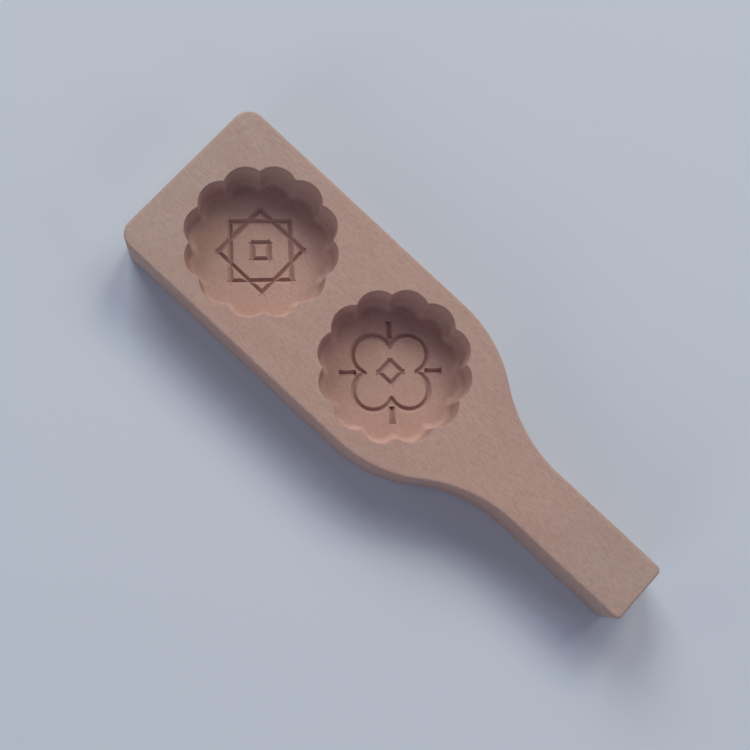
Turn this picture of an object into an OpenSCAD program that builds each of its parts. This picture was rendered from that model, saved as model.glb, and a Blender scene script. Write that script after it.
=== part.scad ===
// Two-cavity mooncake mold: one solid hardwood board with a broad head, two
// scalloped cavities side by side along it, and a flat straight handle.
// The head, the sloping shoulders, the neck and the handle are one outline
// cut through a single plank, and the cavities are carved from its top face.
// Millimetres. X runs from the head end to the handle end, Z is up, and the
// underside rests on Z = 0 with X = 0 half way along the board.

/* [Board] */
// Overall length, from the head end to the handle end
board_length = 250; // [244:1:270]
// Width of the head
head_width = 76; // [74:1:84]
// Thickness of the plank
board_thickness = 27; // [24:0.5:34]
// Plan radius of the two corners at the head end
head_corner = 7.5; // [5:0.5:12]
// Radius worn onto every long edge, top and bottom
edge_round = 1.2; // [0.8:0.1:1.8]

/* [Shoulders and handle] */
// Distance from the head end to where the sides start to curve in
shoulder_start = 120.5; // [110:0.5:124]
// Radius of the outward curve of each shoulder; the rest of the slope is the
// inward curve of the neck
shoulder_radius = 58; // [50:1:66]
// Width of the straight handle
handle_width = 27.4; // [24:0.2:32]
// Plan radius of the two corners at the handle end
handle_corner = 2.5; // [2:0.5:6]

/* [Cavities] */
// Distance from the head end to the centre of the first cavity
first_cavity = 43.4; // [40:0.2:46]
// Distance between the centres of the two cavities
cavity_spacing = 73.3; // [70:0.1:78]
// Depth from the top face to the flat floor
cavity_depth = 17; // [12:0.5:19]
// Number of scallops round a cavity
lobe_count = 12; // [10:1:13]
// Radius of one scallop at the top face
lobe_radius = 9.4; // [8.8:0.1:10]
// Distance from the cavity's centre to the centre of each scallop
lobe_distance = 22.2; // [20:0.1:23]
// Radius of the points of wood that stand between the scallops
point_round = 0.4; // [0.3:0.1:1]
// How far the wall leans in between the top face and the floor
wall_draft = 1.2; // [0.5:0.1:1.6]
// Radius of the soft corner between the wall and the floor
floor_fillet = 3; // [1.5:0.1:3.5]

/* [Ornaments] */
// Width of a carved stroke where it meets the cavity floor
stroke_width = 2.4; // [1.6:0.1:2.8]
// Depth of a carved stroke below the cavity floor
stroke_depth = 1.4; // [0.8:0.1:1.8]
// Half the side of the two squares that make the star in the first cavity
star_half = 12.5; // [9:0.5:13.5]
// Radius of each of the four petals in the second cavity
petal_radius = 8.2; // [6.6:0.2:8.6]

/* [Hidden] */
$fn = 96;
wood = [0.64, 0.53, 0.49];
// Cutters reach this far past the faces that they break through.
over = 3;
// The worn edge leaves each face at this small angle, as sanding does.
edge_angle = 12;
edge_reach = edge_round * cos(edge_angle);
half_width = head_width / 2;
half_handle = handle_width / 2;
x_head = -board_length / 2;
x_end = board_length / 2;
x_shoulder = x_head + shoulder_start;
// The outward and the inward curve meet on the long side of a 3-4-5 triangle,
// so together they take up the step from the head to the handle exactly.
slope = [0.6, 0.8];
neck_radius = (half_width - half_handle) / (1 - slope[1]) - shoulder_radius;
shoulder_centre = [x_shoulder, half_width - shoulder_radius];
x_meet = shoulder_centre[0] + shoulder_radius * slope[0];
y_meet = shoulder_centre[1] + shoulder_radius * slope[1];
x_neck = x_meet + neck_radius * slope[0];
neck_centre = [x_neck, half_handle + neck_radius];
cavity_x = [x_head + first_cavity, x_head + first_cavity + cavity_spacing];
floor_z = board_thickness - cavity_depth;
// Lean of the wall for each millimetre of depth, and as an angle
lean = wall_draft / cavity_depth;
lean_angle = atan(lean);
// Inset and height of the centre of the soft corner at the floor
fillet_inset = lean * (cavity_depth - floor_fillet) + floor_fillet / cos(lean_angle);
// Half the angle from one scallop to the next
half_step = 180 / lobe_count;
// Where the point between two scallops has the centre of its rounding
point_centre = lobe_distance * cos(half_step)
    + sqrt(pow(lobe_radius + point_round, 2) - pow(lobe_distance * sin(half_step), 2));
// How far each side of its own middle a scallop's arc runs
bow = atan2(
    point_centre * sin(half_step),
    point_centre * cos(half_step) - lobe_distance
);
// Steps in one scallop's arc, in one point's arc and in the soft corner
lobe_steps = 12;
point_steps = 3;
fillet_steps = 6;
// The cavities' cutters rise this far above the top face.
rise = 1;
// The strokes' cutters rise this far above the cavity floor.
stroke_rise = 0.5;
// Where two strokes meet, each runs this far past the middle of the other.
spur = stroke_width * 0.7;
// Strokes that cross are cut to slightly different depths, as by hand.
depth_share = [1, 0.94, 0.97, 0.91];
// Distance from the middle of the flower to the centre of each petal, and
// half the angle of a petal's arc, which ends where it meets its neighbours
petal_distance = petal_radius * 1.28;
petal_meet = (petal_distance + sqrt(2 * pow(petal_radius, 2) - pow(petal_distance, 2))) / 2;
petal_half = atan2(petal_meet, petal_meet - petal_distance) + 4;
// Half the side of the small square in the middle of each ornament
heart_half = 3.4;
// Inner and outer end of each leaf, from the middle of the flower
leaf_start = petal_meet * sqrt(2) + 3.2;
leaf_end = leaf_start + 7.2;

module mirrored() {
    children();
    mirror([0, 1, 0]) children();
}

// The sliver of plank that rounding one corner takes away, for a corner whose
// curve is centred at the origin and which faces +X or -X, and +Y.
module corner_waste(radius, side) {
    difference() {
        translate([side > 0 ? 0 : -radius - over, 0]) square(radius + over);
        circle(r = radius);
    }
}

// Plan of the head: straight sides, square end, two round corners.
module head_plan() {
    difference() {
        translate([x_head, -half_width])
            square([x_shoulder - x_head, head_width]);
        mirrored()
            translate([x_head + head_corner, half_width - head_corner])
                corner_waste(head_corner, -1);
    }
}

// Plan of the outward curves, from the straight sides to the meeting points.
module shoulder_plan() {
    intersection() {
        translate(shoulder_centre)
            circle(r = shoulder_radius, $fn = 360);
        mirror([0, 1, 0]) translate(shoulder_centre)
            circle(r = shoulder_radius, $fn = 360);
        translate([x_shoulder - over, -half_width - over])
            square([x_meet - x_shoulder + over * 3, head_width + over * 2]);
    }
}

// Plan of the inward curves, from the meeting points to the handle.
module neck_plan() {
    difference() {
        translate([x_meet, -y_meet - over])
            square([x_neck - x_meet, (y_meet + over) * 2]);
        mirrored()
            translate(neck_centre)
                circle(r = neck_radius, $fn = 360);
    }
}

// Plan of the handle: a straight bar with two round corners.
module handle_plan() {
    difference() {
        translate([x_neck - over, -half_handle])
            square([x_end - x_neck + over, handle_width]);
        mirrored()
            translate([x_end - handle_corner, half_handle - handle_corner])
                corner_waste(handle_corner, 1);
    }
}

module board_plan() {
    head_plan();
    shoulder_plan();
    neck_plan();
    handle_plan();
}

// Section of the wood that is gone from an edge: X out of the side, Y up.
module edge_section() {
    difference() {
        translate([-edge_reach, -edge_reach]) square(edge_reach + over);
        translate([-edge_reach, -edge_reach]) circle(r = edge_round);
    }
}

// Waste along a straight edge that faces the given direction.
module straight_waste(at, facing, run) {
    translate([at[0], at[1], 0])
        rotate([90, 0, facing])
            linear_extrude(height = run) edge_section();
}

// Waste round a corner's quarter turn.
module corner_edge_waste(at, radius, from) {
    translate([at[0], at[1], 0])
        rotate([0, 0, from])
            rotate_extrude(angle = 90)
                translate([radius, 0]) edge_section();
}

// The part of a ring of waste that lies between the line straight across the
// board and the line on which the two curves meet. side is 1 above, -1 below.
module slope_part(reach, side) {
    intersection() {
        children();
        translate([0, 0, -over * 2])
            linear_extrude(height = over * 4)
                polygon(side * reach * [[0, 0], slope, [slope[0], 1], [0, 1]]);
    }
}

// Waste round a shoulder, from the straight side to the meeting point.
module shoulder_edge_waste() {
    translate(shoulder_centre)
        slope_part(shoulder_radius + over * 2, 1)
            rotate_extrude($fn = 360)
                translate([shoulder_radius, 0]) edge_section();
}

// Waste round the neck, from the meeting point to the handle. Here the wood
// lies outside the circle.
module neck_edge_waste() {
    translate(neck_centre)
        slope_part(neck_radius + over * 2, -1)
            rotate_extrude($fn = 360)
                translate([neck_radius, 0]) mirror([1, 0]) edge_section();
}

// Everything that rounding one long edge takes away, at height zero.
module edge_waste() {
    straight_waste([x_head, head_corner - half_width], 180, head_width - head_corner * 2);
    straight_waste([x_end, half_handle - handle_corner], 0, handle_width - handle_corner * 2);
    mirrored() {
        straight_waste([x_head + head_corner, half_width], 90, x_shoulder - x_head - head_corner);
        straight_waste([x_neck, half_handle], 90, x_end - handle_corner - x_neck);
        corner_edge_waste([x_head + head_corner, half_width - head_corner], head_corner, 90);
        corner_edge_waste([x_end - handle_corner, half_handle - handle_corner], handle_corner, 0);
        shoulder_edge_waste();
        neck_edge_waste();
    }
}

// The plank cut to its outline, with both long edges rounded.
module blank() {
    difference() {
        linear_extrude(height = board_thickness) board_plan();
        translate([0, 0, board_thickness]) edge_waste();
        mirror([0, 0, 1]) edge_waste();
    }
}

// One closed ring round a cavity at height z, drawn in from the rim by inset.
// Each scallop is an arc about its own centre, and each point between two
// scallops is an arc about a fixed centre, so the wall stays smooth as it leans.
function ring(inset, z) = [
    for (i = [0 : lobe_count - 1])
        let (
            facing = i * 2 * half_step,
            hub = lobe_distance * [cos(facing), sin(facing)],
            tip = point_centre * [cos(facing + half_step), sin(facing + half_step)]
        )
            each concat(
                [
                    for (j = [0 : lobe_steps])
                        let (t = facing + bow * (2 * j / lobe_steps - 1))
                            [
                                hub[0] + (lobe_radius - inset) * cos(t),
                                hub[1] + (lobe_radius - inset) * sin(t),
                                z
                            ]
                ],
                [
                    for (j = [1 : point_steps - 1])
                        let (t = facing + bow + (half_step - bow) * 2 * j / point_steps)
                            [
                                tip[0] - (point_round + inset) * cos(t),
                                tip[1] - (point_round + inset) * sin(t),
                                z
                            ]
                ]
            )
];

// The wall's inset and height from above the rim, down the lean and round the
// soft corner. The last level lies below the floor, which cuts it off.
function wall_section() = concat(
    [[-lean * rise, board_thickness + rise]],
    [
        for (j = [0 : fillet_steps - 1])
            let (t = lean_angle + (90 - lean_angle) * j / fillet_steps)
                [fillet_inset - floor_fillet * cos(t), floor_z + floor_fillet * (1 - sin(t))]
    ],
    [
        let (t = lean_angle + (90 - lean_angle) * (1 - 1 / fillet_steps))
            [fillet_inset + 2 * floor_fillet * cos(t), floor_z - 2 * floor_fillet * (1 - sin(t))]
    ]
);

// A ring of leaning scallops with a soft corner, open below the floor.
module scalloped_wall() {
    section = wall_section();
    count = lobe_count * (lobe_steps + point_steps);
    last = (len(section) - 1) * count;
    polyhedron(
        points = [for (level = section) each ring(level[0], level[1])],
        faces = concat(
            [[for (i = [0 : count - 1]) count - 1 - i]],
            [
                for (k = [0 : len(section) - 2], i = [0 : count - 1])
                    let (a = k * count, n = (i + 1) % count)
                        [a + i, a + n, a + count + n, a + count + i]
            ],
            [[for (i = [0 : count - 1]) last + i]]
        )
    );
}

// One cavity: the scalloped wall, cut off at the flat floor.
module cavity() {
    intersection() {
        scalloped_wall();
        translate([-half_width, -half_width, floor_z])
            cube([head_width, head_width, cavity_depth + rise * 2]);
    }
}

// Section of a carved stroke: a V with its point below the floor.
module stroke_section(depth) {
    half = stroke_width / 2 * (depth + stroke_rise) / depth;
    polygon([[-half, stroke_rise], [0, -depth], [half, stroke_rise]]);
}

// A straight stroke along Y, with its middle at the origin.
module straight_stroke(length, share) {
    rotate([90, 0, 0])
        linear_extrude(height = length, center = true)
            stroke_section(stroke_depth * depth_share[share]);
}

// A curved stroke round the origin, half its angle each side of +X.
module curved_stroke(radius, half_angle, share) {
    rotate([0, 0, -half_angle])
        rotate_extrude(angle = half_angle * 2)
            translate([radius, 0])
                stroke_section(stroke_depth * depth_share[share]);
}

// Four strokes round a square; neighbours run past each other at the corners.
module square_strokes(half, turn, share) {
    for (i = [0 : 3])
        rotate([0, 0, turn + i * 90])
            translate([half, 0, 0])
                straight_stroke((half + spur) * 2, share + i % 2);
}

// An eight-pointed star of two linked squares, round a small square.
module star() {
    square_strokes(star_half, 0, 0);
    square_strokes(star_half, 45, 2);
    square_strokes(heart_half, 45, 0);
}

// A flower of four petals round a small square, with a leaf between petals.
module flower() {
    for (i = [0 : 3])
        rotate([0, 0, i * 90])
            translate([petal_distance, 0, 0])
                curved_stroke(petal_radius, petal_half, i % 2);
    for (i = [0 : 3])
        rotate([0, 0, 45 + i * 90])
            translate([(leaf_start + leaf_end) / 2, 0, 0])
                rotate([0, 0, 90])
                    straight_stroke(leaf_end - leaf_start, 0);
    square_strokes(heart_half, 0, 0);
}

module mold_board() {
    color(wood)
        difference() {
            blank();
            for (x = cavity_x)
                translate([x, 0, 0]) cavity();
            translate([cavity_x[0], 0, floor_z]) star();
            translate([cavity_x[1], 0, floor_z]) flower();
        }
}

mold_board();
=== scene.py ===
"""Dressed model of a wooden two-cavity mooncake mold on a pale table.

The board is rebuilt as one fine mesh over its plain solid: rounded edges, two
scalloped cavities with softened rims, and an ornament engraved in each floor.
"""

import logging
import math
from dataclasses import dataclass, field
from enum import Enum

import bmesh
import bpy
from mathutils import Matrix, Vector


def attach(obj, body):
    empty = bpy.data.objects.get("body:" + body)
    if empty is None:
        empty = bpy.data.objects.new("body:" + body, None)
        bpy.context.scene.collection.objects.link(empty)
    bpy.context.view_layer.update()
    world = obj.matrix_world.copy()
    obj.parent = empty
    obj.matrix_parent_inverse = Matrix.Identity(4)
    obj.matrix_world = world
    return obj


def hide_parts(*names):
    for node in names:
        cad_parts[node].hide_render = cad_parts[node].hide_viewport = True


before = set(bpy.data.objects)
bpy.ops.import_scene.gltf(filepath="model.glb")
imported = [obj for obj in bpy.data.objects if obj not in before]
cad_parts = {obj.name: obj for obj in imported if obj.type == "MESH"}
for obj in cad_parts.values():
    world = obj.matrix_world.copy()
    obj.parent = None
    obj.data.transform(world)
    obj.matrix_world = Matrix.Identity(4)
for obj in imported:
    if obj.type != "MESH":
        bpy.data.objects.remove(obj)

LOG = logging.getLogger("mooncake_mold")
MM = 0.001
ARC_STEPS = 30
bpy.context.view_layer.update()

Point = tuple[float, float]
Line = list[Point]


# Node helpers


class Value:
    """A number socket that turns Python arithmetic into Math nodes."""

    def __init__(self, graph: "Graph", socket: bpy.types.NodeSocket) -> None:
        """Wrap one output socket.

        Args:
            graph: The graph that the socket belongs to.
            socket: The output socket itself.
        """
        self.graph = graph
        self.socket = socket

    def __add__(self, other: "Value | float") -> "Value":
        """Sum of two values."""
        return self.graph.math("ADD", self, other)

    def __radd__(self, other: float) -> "Value":
        """Sum, with the number on the left."""
        return self.graph.math("ADD", other, self)

    def __sub__(self, other: "Value | float") -> "Value":
        """Difference of two values."""
        return self.graph.math("SUBTRACT", self, other)

    def __rsub__(self, other: float) -> "Value":
        """Difference, with the number on the left."""
        return self.graph.math("SUBTRACT", other, self)

    def __mul__(self, other: "Value | float") -> "Value":
        """Product of two values."""
        return self.graph.math("MULTIPLY", self, other)

    def __rmul__(self, other: float) -> "Value":
        """Product, with the number on the left."""
        return self.graph.math("MULTIPLY", other, self)

    def __truediv__(self, other: "Value | float") -> "Value":
        """Quotient of two values."""
        return self.graph.math("DIVIDE", self, other)


Input = Value | bpy.types.NodeSocket | float | tuple[float, ...] | str | bool


class Graph:
    """A node tree that is filled through one general method."""

    def __init__(self, tree: bpy.types.NodeTree) -> None:
        """Start on an empty tree.

        Args:
            tree: The tree to fill; nodes that it already has are removed.
        """
        self.tree = tree
        tree.nodes.clear()

    def node(self, kind: str, settings: dict[str, object] | None = None, **sockets: Input) -> bpy.types.Node:
        """Add one node, set it up and feed its sockets.

        Args:
            kind: The node's type name.
            settings: Properties to set first.
            **sockets: Socket values or links, by name with _ for a space, or
                by index as i0, i1 and so on.

        Returns:
            The new node.
        """
        made = self.tree.nodes.new(kind)
        for name, value in (settings or {}).items():
            setattr(made, name, value)
        for name, value in sockets.items():
            self._feed(self._socket(made, name), value)
        return made

    def math(self, operation: str, *values: "Value | float") -> Value:
        """Add a Math node.

        Args:
            operation: The Math node's operation.
            *values: Its inputs in order.

        Returns:
            The result as a value.
        """
        fed = {f"i{i}": value for i, value in enumerate(values)}
        made = self.node("ShaderNodeMath", {"operation": operation}, **fed)
        return Value(self, made.outputs[0])

    def smooth(self, value: Value, low: float, high: float) -> Value:
        """Ease a value from 0 at low to 1 at high.

        Args:
            value: The value to ease.
            low: Where the result is 0.
            high: Where the result is 1; it may be less than low.

        Returns:
            The eased value.
        """
        flip = high < low
        made = self.node(
            "ShaderNodeMapRange",
            {"interpolation_type": "SMOOTHSTEP", "clamp": True},
            i0=value,
            i1=min(low, high),
            i2=max(low, high),
            i3=1.0 if flip else 0.0,
            i4=0.0 if flip else 1.0,
        )
        return Value(self, made.outputs[0])

    def blend(self, factor: Value | float, first: Input, second: Input, mode: str = "MIX") -> bpy.types.NodeSocket:
        """Mix two colours.

        Args:
            factor: Share of the second colour.
            first: Colour at factor 0.
            second: Colour at factor 1.
            mode: How the colours are combined.

        Returns:
            The mixed colour's socket.
        """
        made = self.node("ShaderNodeMix", {"data_type": "RGBA", "blend_type": mode}, i0=factor, i6=first, i7=second)
        return made.outputs[2]

    def _socket(self, made: bpy.types.Node, name: str) -> bpy.types.NodeSocket:
        """Find an input by index or by name."""
        if name[0] == "i" and name[1:].isdigit():
            return made.inputs[int(name[1:])]
        return made.inputs[name.replace("_", " ")]

    def _feed(self, socket: bpy.types.NodeSocket, value: Input) -> None:
        """Link a socket to its source, or set it to a constant."""
        if isinstance(value, Value):
            self.tree.links.new(value.socket, socket)
        elif isinstance(value, bpy.types.NodeSocket):
            self.tree.links.new(value, socket)
        else:
            socket.default_value = value


def srgb(red: int, green: int, blue: int) -> tuple[float, float, float, float]:
    """Turn an 8-bit screen colour into a linear one.

    Args:
        red: Red, 0 to 255.
        green: Green, 0 to 255.
        blue: Blue, 0 to 255.

    Returns:
        The linear colour with full alpha.
    """

    def line(channel: int) -> float:
        """One channel, made linear."""
        share = channel / 255
        return share / 12.92 if share <= 0.04045 else ((share + 0.055) / 1.055) ** 2.4

    return (line(red), line(green), line(blue), 1.0)


# Sizes, in millimetres


@dataclass(frozen=True)
class Outline:
    """Plan of the board: head, shoulders, neck and handle."""

    length: float = 250.0
    head_width: float = 76.0
    handle_width: float = 27.4
    head_corner: float = 7.5
    handle_corner: float = 2.5
    shoulder_start: float = 120.5
    shoulder_radius: float = 58.0
    neck_sine: float = 0.6
    neck_versine: float = 0.2
    handle_steps: int = 10
    neck_steps: int = 28
    shoulder_steps: int = 26
    head_steps: int = 14

    def ring(self, inset: float) -> Line:
        """Points of the plan, anticlockwise, drawn in by an inset.

        Args:
            inset: Distance in from the outline.

        Returns:
            The closed ring's points; every inset gives as many.
        """
        half, hand = self.head_width / 2, self.handle_width / 2
        left, right = -self.length / 2, self.length / 2
        start = left + self.shoulder_start
        neck_radius = (half - hand) / self.neck_versine - self.shoulder_radius
        neck = start + self.neck_sine * (self.shoulder_radius + neck_radius)
        turn = math.degrees(math.asin(self.neck_sine))
        upper: Line = []
        corner = self.handle_corner
        upper += self._arc((right - corner, hand - corner), corner - inset, 0, 90, self.handle_steps)
        upper += self._arc((neck, hand + neck_radius), neck_radius + inset, 270, 270 - turn, self.neck_steps)
        hub, reach = (start, half - self.shoulder_radius), self.shoulder_radius - inset
        upper += self._arc(hub, reach, 90 - turn, 90, self.shoulder_steps)[1:]
        corner = self.head_corner
        upper += self._arc((left + corner, half - corner), corner - inset, 90, 180, self.head_steps)
        return upper + [(x, -y) for x, y in reversed(upper)]

    def _arc(self, centre: Point, radius: float, start: float, end: float, steps: int) -> Line:
        """Points along one arc, both ends included."""
        angles = [math.radians(start + (end - start) * i / steps) for i in range(steps + 1)]
        return [(centre[0] + radius * math.cos(a), centre[1] + radius * math.sin(a)) for a in angles]


@dataclass(frozen=True)
class Scallops:
    """A scalloped cavity: its lobes, its leaning wall and its soft floor corner."""

    depth: float = 17.0
    lobes: int = 12
    lobe_radius: float = 9.4
    lobe_distance: float = 22.2
    point_round: float = 0.4
    draft: float = 1.2
    fillet: float = 3.0
    rim_ease: float = 0.25
    rim_lap: float = 0.1
    floor_lap: float = 0.4
    wall_shares: tuple[float, ...] = (0.25, 0.5, 0.75)
    rim_steps: int = 3
    lobe_steps: int = 22
    point_steps: int = 6
    fillet_steps: int = 9

    def ring(self, inset: float) -> Line:
        """Points round the cavity, anticlockwise, drawn in from the rim.

        Args:
            inset: Distance in from the rim, or out from it if negative.

        Returns:
            The closed ring's points; every inset gives as many.
        """
        half = math.pi / self.lobes
        centre = self.lobe_distance * math.cos(half) + math.sqrt(
            (self.lobe_radius + self.point_round) ** 2 - (self.lobe_distance * math.sin(half)) ** 2
        )
        bow = math.atan2(centre * math.sin(half), centre * math.cos(half) - self.lobe_distance)
        points: Line = []
        for i in range(self.lobes):
            facing = 2 * half * i
            hub = (self.lobe_distance * math.cos(facing), self.lobe_distance * math.sin(facing))
            tip = (centre * math.cos(facing + half), centre * math.sin(facing + half))
            for j in range(self.lobe_steps + 1):
                turn = facing + bow * (2 * j / self.lobe_steps - 1)
                reach = self.lobe_radius - inset
                points.append((hub[0] + reach * math.cos(turn), hub[1] + reach * math.sin(turn)))
            for j in range(1, self.point_steps):
                turn = facing + bow + (half - bow) * 2 * j / self.point_steps
                reach = self.point_round + inset
                points.append((tip[0] - reach * math.cos(turn), tip[1] - reach * math.sin(turn)))
        return points

    def section(self) -> list[tuple[float, float]]:
        """Inset and depth of each ring, from the rim down to the floor.

        Returns:
            Pairs of inset and depth below the top face.
        """
        lean = self.draft / self.depth
        angle = math.atan(lean)
        levels = [(-self.rim_ease - self.rim_lap, 0.0)]
        for i in range(self.rim_steps + 1):
            turn = math.radians(90 / self.rim_steps * i)
            levels.append((-self.rim_ease * (1 - math.sin(turn)), self.rim_ease * (1 - math.cos(turn))))
        for share in self.wall_shares:
            down = self.rim_ease + share * (self.depth - self.fillet - self.rim_ease)
            levels.append((lean * down, down))
        inset = lean * (self.depth - self.fillet) + self.fillet / math.cos(angle)
        for i in range(self.fillet_steps + 1):
            turn = angle + (math.pi / 2 - angle) * i / self.fillet_steps
            levels.append((inset - self.fillet * math.cos(turn), self.depth - self.fillet * (1 - math.sin(turn))))
        levels.append((inset + self.floor_lap, self.depth))
        return levels


class Motif(Enum):
    """The ornament in a cavity's floor."""

    STAR = "star"
    FLOWER = "flower"


# The ornaments


def arc(centre: Point, radius: float, half_angle: float) -> Line:
    """A curved line, half its angle each side of +X.

    Args:
        centre: Centre of the arc.
        radius: Its radius.
        half_angle: Half its angle, in degrees.

    Returns:
        The line's points.
    """
    angles = [math.radians(half_angle * (2 * i / ARC_STEPS - 1)) for i in range(ARC_STEPS + 1)]
    return [(centre[0] + radius * math.cos(a), centre[1] + radius * math.sin(a)) for a in angles]


def turned(line: Line, degrees: float) -> Line:
    """A line turned round the middle of the ornament.

    Args:
        line: The line's points.
        degrees: Angle, anticlockwise.

    Returns:
        The turned points.
    """
    c, s = math.cos(math.radians(degrees)), math.sin(math.radians(degrees))
    return [(x * c - y * s, x * s + y * c) for x, y in line]


@dataclass(frozen=True)
class Stroke:
    """One carved stroke and the way that its ends run out."""

    line: Line
    size: float = 1.0
    end_size: float = 0.15
    run_out: float = 1.7


@dataclass(frozen=True)
class Figures:
    """The ornaments, as the solid has them; each repeats four times round the middle."""

    spur: float = 1.68
    star_half: float = 12.5
    heart_half: float = 3.4
    second_size: float = 0.97
    petal_radius: float = 8.2
    petal_spread: float = 1.28
    petal_overrun: float = 9.0
    petal_run_out: float = 1.3
    leaf_gap: float = 3.2
    leaf_length: float = 7.2
    leaf_end_size: float = 1.3
    leaf_run_out: float = 2.4

    def strokes(self, motif: Motif) -> list[Stroke]:
        """A quarter of an ornament.

        Args:
            motif: Which ornament.

        Returns:
            Its strokes.
        """
        return self._star() if motif is Motif.STAR else self._flower()

    def _star(self) -> list[Stroke]:
        """Two linked squares that make a star, round a small square."""
        side = self._side(self.star_half)
        heart = self._side(self.heart_half)
        return [Stroke(side), Stroke(turned(side, 45), size=self.second_size), Stroke(turned(heart, 45))]

    def _flower(self) -> list[Stroke]:
        """Petals round a small square, and a leaf with opened ends between petals."""
        away = self.petal_radius * self.petal_spread
        meet = (away + math.sqrt(2 * self.petal_radius**2 - away**2)) / 2
        half_angle = math.degrees(math.atan2(meet, meet - away)) + self.petal_overrun
        petal = arc((away, 0.0), self.petal_radius, half_angle)
        first = meet * math.sqrt(2) + self.leaf_gap
        leaf = turned([(first, 0.0), (first + self.leaf_length, 0.0)], 45)
        heart = self._side(self.heart_half)
        return [
            Stroke(petal, run_out=self.petal_run_out),
            Stroke(leaf, end_size=self.leaf_end_size, run_out=self.leaf_run_out),
            Stroke(heart),
        ]

    def _side(self, half: float) -> Line:
        """One side of a square, run a little past its corners."""
        reach = half + self.spur
        return [(half, -reach), (half, reach)]


@dataclass(frozen=True)
class Chisel:
    """The V-shaped groove that a stroke is cut with, in millimetres."""

    width: float = 2.6
    depth: float = 1.4
    lift: float = 0.5
    step: float = 0.6
    copies: int = 4
    other_depth: float = 0.94

    def cutter(
        self, strokes: list[Stroke], centre: tuple[float, float, float], material: bpy.types.Material
    ) -> bpy.types.Mesh:
        """Make the solid that carves one ornament.

        Args:
            strokes: One quarter of the ornament.
            centre: Middle of the floor.
            material: Finish of the groove.

        Returns:
            The solid's mesh, in place.
        """
        lines = bpy.data.meshes.new("stroke_lines")
        points: list[tuple[float, float, float]] = []
        edges: list[tuple[int, int]] = []
        cuts: dict[str, list[float]] = {"size": [], "end_size": [], "run_out": []}
        for stroke in strokes:
            first = len(points)
            points += [(x * MM, y * MM, 0.0) for x, y in stroke.line]
            edges += [(first + i, first + i + 1) for i in range(len(stroke.line) - 1)]
            for name, value in zip(cuts, (stroke.size, stroke.end_size, stroke.run_out * MM)):
                cuts[name] += [value] * len(stroke.line)
        lines.from_pydata(points, edges, [])
        for name, values in cuts.items():
            lines.attributes.new(name, "FLOAT", "POINT").data.foreach_set("value", values)
        source = bpy.data.objects.new("stroke_lines", lines)
        bpy.context.collection.objects.link(source)
        modifier = source.modifiers.new("strokes", "NODES")
        modifier.node_group, names = self._tree(material)
        modifier[names["Copies"]] = self.copies
        modifier[names["Width"]] = self.width * MM
        modifier[names["Depth"]] = self.depth * MM
        modifier[names["Lift"]] = self.lift * MM
        modifier[names["Step"]] = self.step * MM
        modifier[names["Other Depth"]] = self.other_depth
        bpy.context.view_layer.update()
        graph = bpy.context.evaluated_depsgraph_get()
        mesh = bpy.data.meshes.new_from_object(source.evaluated_get(graph))
        bpy.data.objects.remove(source)
        mesh.transform(Matrix.Translation(Vector(centre) * MM))
        LOG.info("strokes at %s: %d faces", centre, len(mesh.polygons))
        return mesh

    def _tree(self, material: bpy.types.Material) -> tuple[bpy.types.NodeTree, dict[str, str]]:
        """Nodes that sweep a V along each stroke and repeat the strokes in a ring.

        Args:
            material: Finish of the swept surface.

        Returns:
            The tree, and each input's identifier by its name.
        """
        tree = bpy.data.node_groups.new("carved_strokes", "GeometryNodeTree")
        face = tree.interface
        face.new_socket("Strokes", in_out="INPUT", socket_type="NodeSocketGeometry")
        names: dict[str, str] = {}
        names["Copies"] = face.new_socket("Copies", in_out="INPUT", socket_type="NodeSocketInt").identifier
        for name in ("Width", "Depth", "Lift", "Step", "Other Depth"):
            names[name] = face.new_socket(name, in_out="INPUT", socket_type="NodeSocketFloat").identifier
        face.new_socket("Cutter", in_out="OUTPUT", socket_type="NodeSocketGeometry")
        g = Graph(tree)
        given = g.node("NodeGroupInput").outputs
        width, depth, lift, other = (Value(g, given[name]) for name in ("Width", "Depth", "Lift", "Other Depth"))
        full_size, end_size, run_out = (
            Value(g, g.node("GeometryNodeInputNamedAttribute", {"data_type": "FLOAT"}, Name=name).outputs[0])
            for name in ("size", "end_size", "run_out")
        )

        curve = g.node("GeometryNodeMeshToCurve", i0=given["Strokes"]).outputs[0]
        even = g.node("GeometryNodeResampleCurve", {"mode": "LENGTH"}, Curve=curve, Length=given["Step"]).outputs[0]
        along = Value(g, g.node("GeometryNodeSplineParameter").outputs["Length"])
        whole = Value(g, g.node("GeometryNodeSplineLength").outputs["Length"])
        nearest = g.math("MINIMUM", along, whole - along)
        size = full_size * (1 + (end_size - 1) * g.math("MAXIMUM", 1 - nearest / run_out, 0.0))
        level = g.node("GeometryNodeSetCurveNormal", {"mode": "Z_UP"}, Curve=even).outputs[0]

        # A circle of three points is 1.5 radii tall and 2 cos 30 radii wide.
        tall = (depth + lift) / 1.5
        half = width / 2 * (depth + lift) / depth / math.cos(math.radians(30))
        scale = g.node("ShaderNodeCombineXYZ", X=tall, Y=half, Z=1.0)
        shift = g.node("ShaderNodeCombineXYZ", X=depth - tall)
        three = g.node("GeometryNodeCurvePrimitiveCircle", {"mode": "RADIUS"}, Resolution=3, Radius=1.0)
        section = g.node(
            "GeometryNodeTransform", Geometry=three.outputs[0], Translation=shift.outputs[0], Scale=scale.outputs[0]
        )
        turned = g.node("GeometryNodeTransform", Geometry=section.outputs[0], Rotation=(0.0, 0.0, math.pi / 2))
        swept = g.node(
            "GeometryNodeCurveToMesh", Curve=level, Profile_Curve=turned.outputs[0], Scale=size, Fill_Caps=True
        )

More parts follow.
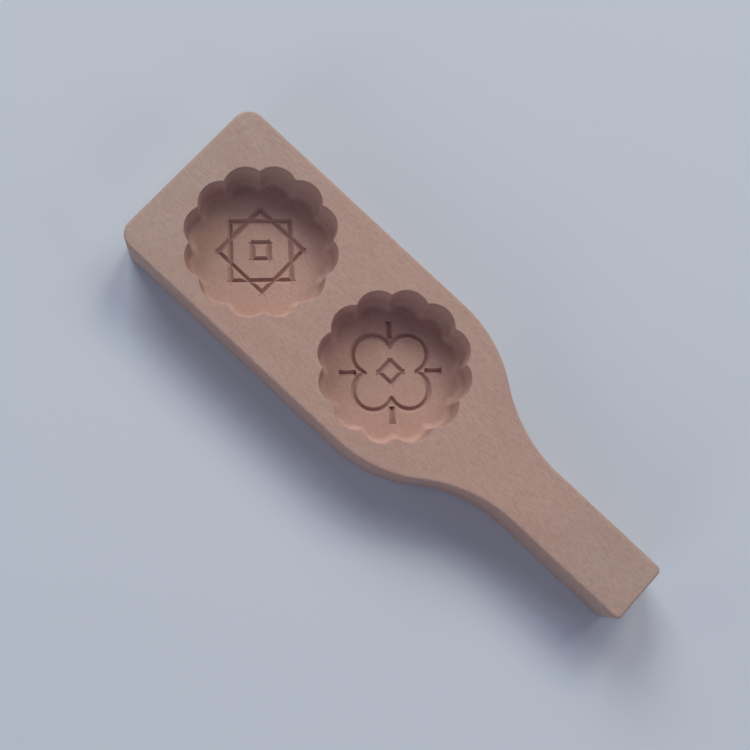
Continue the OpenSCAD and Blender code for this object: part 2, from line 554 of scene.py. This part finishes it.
        seats = g.node("GeometryNodePoints", Count=given["Copies"])
        number = Value(g, g.node("GeometryNodeInputIndex").outputs[0])
        angle = number * (2 * math.pi) / Value(g, given["Copies"])
        spin = g.node("ShaderNodeCombineXYZ", Z=angle)
        odd = g.math("MODULO", number, 2.0)
        press = g.node("ShaderNodeCombineXYZ", X=1.0, Y=1.0, Z=1 - odd * (1 - other))
        placed = g.node(
            "GeometryNodeInstanceOnPoints",
            Points=seats.outputs[0],
            Instance=swept.outputs[0],
            Rotation=spin.outputs[0],
            Scale=press.outputs[0],
        )
        real = g.node("GeometryNodeRealizeInstances", i0=placed.outputs[0])
        dressed = g.node("GeometryNodeSetMaterial", Geometry=real.outputs[0], Material=material)
        g.node("NodeGroupOutput", Cutter=dressed.outputs[0])
        return tree, names


# The board


@dataclass(frozen=True)
class Cavity:
    """One cavity: its middle along the board and the ornament in its floor."""

    x: float
    motif: Motif


@dataclass
class MoldBoard:
    """The whole wooden board, as one carved piece."""

    thickness: float = 27.0
    edge_round: float = 1.2
    edge_lap: float = 0.8
    edge_steps: int = 7
    crisp_from: float = 34.0
    outline: Outline = field(default_factory=Outline)
    scallops: Scallops = field(default_factory=Scallops)
    cavities: tuple[Cavity, ...] = (Cavity(-81.6, Motif.STAR), Cavity(-8.3, Motif.FLOWER))
    chisel: Chisel = field(default_factory=Chisel)
    figures: Figures = field(default_factory=Figures)

    def build(self, wood: bpy.types.Material) -> bpy.types.Object:
        """Make the board, carve it and dress it.

        Args:
            wood: The board's finish.

        Returns:
            The finished object.
        """
        mesh = self._blank()
        mesh.materials.append(wood)
        board = bpy.data.objects.new("carved_board", mesh)
        bpy.context.collection.objects.link(board)
        floor = self.thickness - self.scallops.depth
        self._carve(
            board,
            [self.chisel.cutter(self.figures.strokes(c.motif), (c.x, 0.0, floor), wood) for c in self.cavities],
        )
        self._shade(board.data)
        LOG.info("board: %d faces", len(board.data.polygons))
        return board

    def _blank(self) -> bpy.types.Mesh:
        """Mesh of the board with its cavities, before the ornaments."""
        shape = bmesh.new()
        top = self.thickness
        levels = self._edge_levels()
        rings = [self._ring(shape, self.outline.ring(inset), z) for inset, z in levels]
        for lower, upper in zip(rings, rings[1:]):
            self._band(shape, lower, upper)
        shape.faces.new(list(reversed(rings[0])))
        rims = [rings[-1]]
        for cavity in self.cavities:
            wall = [
                self._ring(shape, [(cavity.x + u, v) for u, v in self.scallops.ring(inset)], top - down)
                for inset, down in self.scallops.section()
            ]
            for upper, lower in zip(wall, wall[1:]):
                self._band(shape, upper, lower)
            shape.faces.new(wall[-1])
            rims.append(wall[0])
        edges = []
        for rim in rims:
            for a, b in zip(rim, rim[1:] + rim[:1]):
                edges.append(shape.edges.get((a, b)))
        bmesh.ops.triangle_fill(shape, use_beauty=True, use_dissolve=False, edges=edges, normal=(0.0, 0.0, 1.0))
        bmesh.ops.recalc_face_normals(shape, faces=shape.faces)
        mesh = bpy.data.meshes.new("carved_board")
        shape.to_mesh(mesh)
        shape.free()
        mesh.transform(Matrix.Scale(MM, 4))
        return mesh

    def _edge_levels(self) -> list[tuple[float, float]]:
        """Inset and height of each ring from the underside up to the top face."""
        rise = [(self.edge_round + self.edge_lap, 0.0)]
        for i in range(self.edge_steps + 1):
            turn = math.pi / 2 * i / self.edge_steps
            rise.append((self.edge_round * (1 - math.sin(turn)), self.edge_round * (1 - math.cos(turn))))
        return rise + [(inset, self.thickness - z) for inset, z in reversed(rise)]

    def _ring(self, shape: bmesh.types.BMesh, points: Line, z: float) -> list[bmesh.types.BMVert]:
        """Add one ring of corners at a height."""
        return [shape.verts.new((x, y, z)) for x, y in points]

    def _band(
        self, shape: bmesh.types.BMesh, first: list[bmesh.types.BMVert], second: list[bmesh.types.BMVert]
    ) -> None:
        """Join two rings with a band of four-sided faces.

        Args:
            shape: The mesh being built.
            first: Lower ring of an outer band, upper ring of an inner one.
            second: The other ring.
        """
        for i, corner in enumerate(first):
            n = (i + 1) % len(first)
            shape.faces.new((corner, first[n], second[n], second[i]))

    def _carve(self, board: bpy.types.Object, ornaments: list[bpy.types.Mesh]) -> None:
        """Cut all the ornaments out of the board at once.

        Args:
            board: The board to cut.
            ornaments: The solids to take away.
        """
        joined = bmesh.new()
        for ornament in ornaments:
            joined.from_mesh(ornament)
        tool = bpy.data.meshes.new("ornaments")
        joined.to_mesh(tool)
        joined.free()
        cutter = bpy.data.objects.new("ornaments", tool)
        bpy.context.collection.objects.link(cutter)
        modifier = board.modifiers.new("carve", "BOOLEAN")
        modifier.operation = "DIFFERENCE"
        modifier.solver = "EXACT"
        modifier.use_self = True
        modifier.object = cutter
        bpy.context.view_layer.update()
        graph = bpy.context.evaluated_depsgraph_get()
        mesh = bpy.data.meshes.new_from_object(board.evaluated_get(graph))
        board.modifiers.clear()
        board.data = mesh
        mesh.name = "carved_board"
        bpy.data.objects.remove(cutter)

    def _shade(self, mesh: bpy.types.Mesh) -> None:
        """Shade the curves smoothly and keep the carved edges crisp."""
        for face in mesh.polygons:
            face.use_smooth = True
        mesh.set_sharp_from_angle(angle=math.radians(self.crisp_from))


# Finishes


@dataclass(frozen=True)
class Beech:
    """Sanded, unvarnished beech: dense short flecks along the grain, faint rings.

    The wood in the cavities is lightened with painted bounce light, and the carved
    strokes are darkened with painted shade.
    """

    pale: tuple[int, int, int] = (176, 145, 135)
    warm: tuple[int, int, int] = (169, 136, 125)
    grey: tuple[int, int, int] = (170, 144, 130)
    ring: tuple[int, int, int] = (150, 120, 110)
    fleck: tuple[int, int, int] = (128, 100, 90)
    ring_spacing: float = 3.6
    ring_drift: float = 7.0
    ring_sway: float = 16.0
    pith_depth: float = 64.0
    pith_slope: float = 0.085
    drift_scale: tuple[float, float, float] = (0.010, 0.030, 0.030)
    sway_scale: tuple[float, float, float] = (0.004, 0.016, 0.016)
    cloud_scale: tuple[float, float, float] = (0.022, 0.06, 0.06)
    mottle_scale: tuple[float, float, float] = (0.11, 0.26, 0.26)
    fibre_scale: tuple[float, float, float] = (0.34, 2.9, 2.9)
    fleck_scale: tuple[float, float, float] = (0.42, 1.9, 1.9)
    dust_scale: tuple[float, float, float] = (0.7, 3.1, 3.1)
    fleck_reach: float = 0.62
    dust_reach: float = 0.55
    mottle_share: float = 0.55
    ring_share: float = 0.10
    fibre_share: float = 0.60
    fleck_share: float = 0.26
    dust_share: float = 0.28
    end_tint: tuple[float, float, float, float] = (0.94, 1.01, 1.02, 1.0)
    # Painted bounce light: the wood in the cavities is made lighter and pinker, standing for light bouncing inside
    # them.
    cavity_bounce_light_tint: tuple[float, float, float, float] = (1.12, 1.075, 1.085, 1.0)
    # Painted shade: the carved grooves are darkened, standing for the shade that falls in them.
    groove_shade_tint: tuple[float, float, float, float] = (0.86, 0.83, 0.87, 1.0)
    end_from: float = 60.0
    end_full: float = 122.0
    # Heights below the rim over which the painted cavity light fades in.
    cavity_light_from: float = 26.6
    cavity_light_full: float = 23.0
    cavity_reach: float = 33.0
    floor: float = 10.0
    # Depths below the floor over which the painted groove shade fades in.
    groove_shade_from: float = 0.03
    groove_shade_full: float = 0.3
    roughness: float = 0.62
    specular: float = 0.32
    grain_strength: float = 0.25
    grain_height: float = 0.00012

    def material(self, cavity_centres: tuple[float, ...]) -> bpy.types.Material:
        """Build the wood's material.

        Args:
            cavity_centres: Where the cavities are along the board.

        Returns:
            The material.
        """
        made = bpy.data.materials.new("beech")
        made.use_nodes = True
        g = Graph(made.node_tree)
        place = g.node("ShaderNodeTexCoord").outputs["Object"]
        mm = g.node("ShaderNodeVectorMath", {"operation": "SCALE"}, i0=place, Scale=1000.0).outputs[0]
        parts = g.node("ShaderNodeSeparateXYZ", i0=mm).outputs
        x, y, z = (Value(g, part) for part in parts)

        drift = self._noise(g, mm, self.drift_scale, 2.0)
        sway = self._noise(g, mm, self.sway_scale, 0.0)
        deep = z + self.pith_depth + x * self.pith_slope
        radius = g.math("SQRT", deep * deep + y * y)
        rings = (radius + (drift - 0.5) * self.ring_drift + (sway - 0.5) * self.ring_sway) / self.ring_spacing
        late = g.math("SINE", rings * (2 * math.pi)) * 0.5 + 0.5

        fibre = self._noise(g, mm, self.fibre_scale, 2.0)
        mottle = self._noise(g, mm, self.mottle_scale, 2.0)
        cloud = self._noise(g, mm, self.cloud_scale, 3.0)
        fleck = self._flecks(g, mm, self.fleck_scale, self.fleck_reach)
        dust = self._flecks(g, mm, self.dust_scale, self.dust_reach)

        base = g.blend(g.smooth(cloud, 0.25, 0.75), srgb(*self.pale), srgb(*self.warm))
        base = g.blend(g.smooth(mottle, 0.40, 0.66) * self.mottle_share, base, srgb(*self.grey))
        base = g.blend(late * late * self.ring_share, base, srgb(*self.ring))
        base = g.blend(g.smooth(fibre, 0.34, 0.72) * self.fibre_share, base, srgb(*self.ring))
        base = g.blend(fleck * self.fleck_share, base, srgb(*self.fleck))
        base = g.blend(dust * self.dust_share, base, srgb(*self.fleck))
        ends = g.smooth(g.math("ABSOLUTE", x), self.end_from, self.end_full)
        base = g.blend(ends, base, self._tinted(g, base, self.end_tint))
        cut = self._in_cavity(g, x, y, z, cavity_centres)
        # Painted bounce light: the wood in the cavities is made lighter and pinker.
        base = g.blend(cut, base, self._tinted(g, base, self.cavity_bounce_light_tint))
        # Painted shade: the wood below the cavity floor, in the grooves, is darkened.
        stroke = cut * g.smooth(z, self.floor - self.groove_shade_from, self.floor - self.groove_shade_full)
        base = g.blend(stroke, base, self._tinted(g, base, self.groove_shade_tint))

        rough = self.roughness + (fibre - 0.5) * 0.12 + fleck * 0.08
        height = fibre * 0.4 - fleck * 0.6 - dust * 0.25
        bump = g.node("ShaderNodeBump", Strength=self.grain_strength, Distance=self.grain_height, Height=height)
        shader = g.node("ShaderNodeBsdfPrincipled", Base_Color=base, Roughness=rough, Normal=bump.outputs[0])
        shader.inputs["Specular IOR Level"].default_value = self.specular
        g.node("ShaderNodeOutputMaterial", Surface=shader.outputs[0])
        return made

    def _tinted(
        self, g: Graph, base: bpy.types.NodeSocket, tint: tuple[float, float, float, float]
    ) -> bpy.types.NodeSocket:
        """Multiply a colour by a tint.

        Args:
            g: The graph to add to.
            base: The colour.
            tint: Factor for each channel.

        Returns:
            The tinted colour's socket.
        """
        return g.blend(1.0, base, tint, "MULTIPLY")

    def _in_cavity(self, g: Graph, x: Value, y: Value, z: Value, centres: tuple[float, ...]) -> Value:
        """Mask of the cavities, which carries the painted bounce light and bounds the painted groove shade.

        Args:
            g: The graph to add to.
            x: Position along the board, in millimetres.
            y: Position across it.
            z: Height.
            centres: Where the cavities are along the board.

        Returns:
            A mask that is 1 inside the cavities.
        """
        near: Value | float = 0.0
        for centre in centres:
            away = x - centre
            near = g.math("MAXIMUM", near, g.math("LESS_THAN", away * away + y * y, self.cavity_reach**2))
        return near * g.smooth(z, self.cavity_light_from, self.cavity_light_full)

    def _noise(
        self, g: Graph, mm: bpy.types.NodeSocket, stretch: tuple[float, float, float], detail: float
    ) -> Value:
        """Noise that is stretched along the grain.

        Args:
            g: The graph to add to.
            mm: Position in millimetres.
            stretch: Cycles per millimetre along each axis.
            detail: How much fine detail is added.

        Returns:
            The noise, about 0 to 1.
        """
        at = g.node("ShaderNodeVectorMath", {"operation": "MULTIPLY"}, i0=mm, i1=stretch).outputs[0]
        made = g.node("ShaderNodeTexNoise", Vector=at, Scale=1.0, Detail=detail, Roughness=0.55)
        return Value(g, made.outputs[0])

    def _flecks(self, g: Graph, mm: bpy.types.NodeSocket, stretch: tuple[float, float, float], reach: float) -> Value:
        """Short lens-shaped marks that lie along the grain.

        Args:
            g: The graph to add to.
            mm: Position in millimetres.
            stretch: Cells per millimetre along each axis.
            reach: Half length of the largest mark, in cells.

        Returns:
            A mask that is 1 in the middle of a mark.
        """
        at = g.node("ShaderNodeVectorMath", {"operation": "MULTIPLY"}, i0=mm, i1=stretch).outputs[0]
        cells = g.node("ShaderNodeTexVoronoi", {"feature": "F1"}, Vector=at, Scale=1.0, Randomness=1.0)
        tint = g.node("ShaderNodeSeparateColor", i0=cells.outputs["Color"]).outputs
        size = Value(g, tint[0]) * reach
        nearness = 1 - Value(g, cells.outputs["Distance"]) / (size + 0.02)
        return g.smooth(nearness, 0.0, 0.7)


@dataclass(frozen=True)
class Tabletop:
    """The pale, cool surface that the board lies on."""

    colour: tuple[int, int, int] = (186, 192, 203)
    roughness: float = 0.85
    specular: float = 0.1

    def material(self) -> bpy.types.Material:
        """Build the table's material.

        Returns:
            The material.
        """
        made = bpy.data.materials.new("tabletop")
        made.use_nodes = True
        g = Graph(made.node_tree)
        shader = g.node("ShaderNodeBsdfPrincipled", Base_Color=srgb(*self.colour), Roughness=self.roughness)
        shader.inputs["Specular IOR Level"].default_value = self.specular
        g.node("ShaderNodeOutputMaterial", Surface=shader.outputs[0])
        return made


# The studio


@dataclass(frozen=True)
class Lamp:
    """One square soft light that faces the board."""

    name: str
    elevation: float
    azimuth: float
    size: float
    watts: float
    colour: tuple[float, float, float]

    def hang(self, distance: float) -> bpy.types.Object:
        """Hang the lamp round the middle of the board.

        Args:
            distance: How far away it hangs, in metres.

        Returns:
            The lamp.
        """
        data = bpy.data.lights.new(self.name, "AREA")
        data.shape = "SQUARE"
        data.size = self.size
        data.energy = self.watts
        data.color = self.colour
        up, round_ = math.radians(self.elevation), math.radians(self.azimuth)
        toward = Vector((math.cos(up) * math.cos(round_), math.cos(up) * math.sin(round_), math.sin(up)))
        lamp = bpy.data.objects.new(self.name, data)
        lamp.location = toward * distance
        lamp.rotation_euler = (-toward).to_track_quat("-Z", "Y").to_euler()
        bpy.context.collection.objects.link(lamp)
        return lamp


@dataclass
class Studio:
    """Floor, soft window light, fill light and camera."""

    lamps: tuple[Lamp, ...] = (
        Lamp("window_left", 34.0, 150.0, 2.0, 108.0, (0.90, 0.98, 0.99)),
        Lamp("window_far", 46.0, 90.0, 2.0, 46.0, (0.95, 1.0, 0.92)),
        Lamp("window_glow", 42.0, 110.0, 0.96, 37.0, (1.0, 0.93, 0.65)),
        Lamp("fill_near", 22.0, 270.0, 2.0, 40.5, (0.72, 0.86, 1.0)),
        Lamp("fill_right", 22.0, 330.0, 2.0, 15.4, (0.88, 0.97, 1.0)),
        Lamp("fill_left", 22.0, 210.0, 2.0, 16.6, (0.88, 1.0, 0.80)),
        Lamp("fill_far", 22.0, 30.0, 2.0, 19.7, (0.75, 0.83, 1.0)),
    )
    lamp_distance: float = 4.0
    sky: tuple[float, float, float, float] = (0.116, 0.075, 0.134, 1.0)
    backdrop: tuple[int, int, int] = (160, 170, 186)
    camera_at: tuple[float, float, float] = (1.5, -102.9, 556.0)
    camera_right: tuple[float, float, float] = (0.7303, 0.6753, 0.1025)
    camera_up: tuple[float, float, float] = (-0.6826, 0.7162, 0.1453)
    camera_back: tuple[float, float, float] = (0.0247, -0.1761, 0.9841)
    lens: float = 64.8
    floor_half: float = 3.0

    def build(self) -> None:
        """Make the floor, the lights, the world and the camera."""
        self._floor()
        for lamp in self.lamps:
            lamp.hang(self.lamp_distance)
        self._world()
        self._camera()

    def _floor(self) -> None:
        """Lay a wide floor under the board."""
        shape = bmesh.new()
        bmesh.ops.create_grid(shape, x_segments=1, y_segments=1, size=self.floor_half)
        mesh = bpy.data.meshes.new("tabletop")
        shape.to_mesh(mesh)
        shape.free()
        mesh.materials.append(Tabletop().material())
        floor = bpy.data.objects.new("tabletop", mesh)
        bpy.context.collection.objects.link(floor)

    def _world(self) -> None:
        """Surround the scene with an even light, behind a pale backdrop."""
        world = bpy.data.worlds.new("room")
        bpy.context.scene.world = world
        world.use_nodes = True
        g = Graph(world.node_tree)
        seen = Value(g, g.node("ShaderNodeLightPath").outputs["Is Camera Ray"])
        colour = g.blend(seen, self.sky, srgb(*self.backdrop))
        light = g.node("ShaderNodeBackground", Color=colour, Strength=1.0)
        g.node("ShaderNodeOutputWorld", Surface=light.outputs[0])

    def _camera(self) -> None:
        """Place the camera where the photograph was taken from."""
        data = bpy.data.cameras.new("camera")
        data.sensor_width = 36.0
        data.lens = self.lens
        camera = bpy.data.objects.new("camera", data)
        turn = Matrix((self.camera_right, self.camera_up, self.camera_back)).transposed().to_4x4()
        camera.matrix_world = Matrix.Translation(Vector(self.camera_at) * MM) @ turn
        bpy.context.collection.objects.link(camera)
        bpy.context.scene.camera = camera


def main() -> None:
    """Build the board and the studio."""
    logging.basicConfig(level=logging.INFO, format="%(name)s: %(message)s")
    mold = MoldBoard()
    centres = tuple(cavity.x for cavity in mold.cavities)
    board = mold.build(Beech().material(centres))
    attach(board, "root")
    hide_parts("mold_board")
    Studio().build()
    bpy.context.scene.view_settings.view_transform = "Standard"


if __name__ == "__main__":
    main()
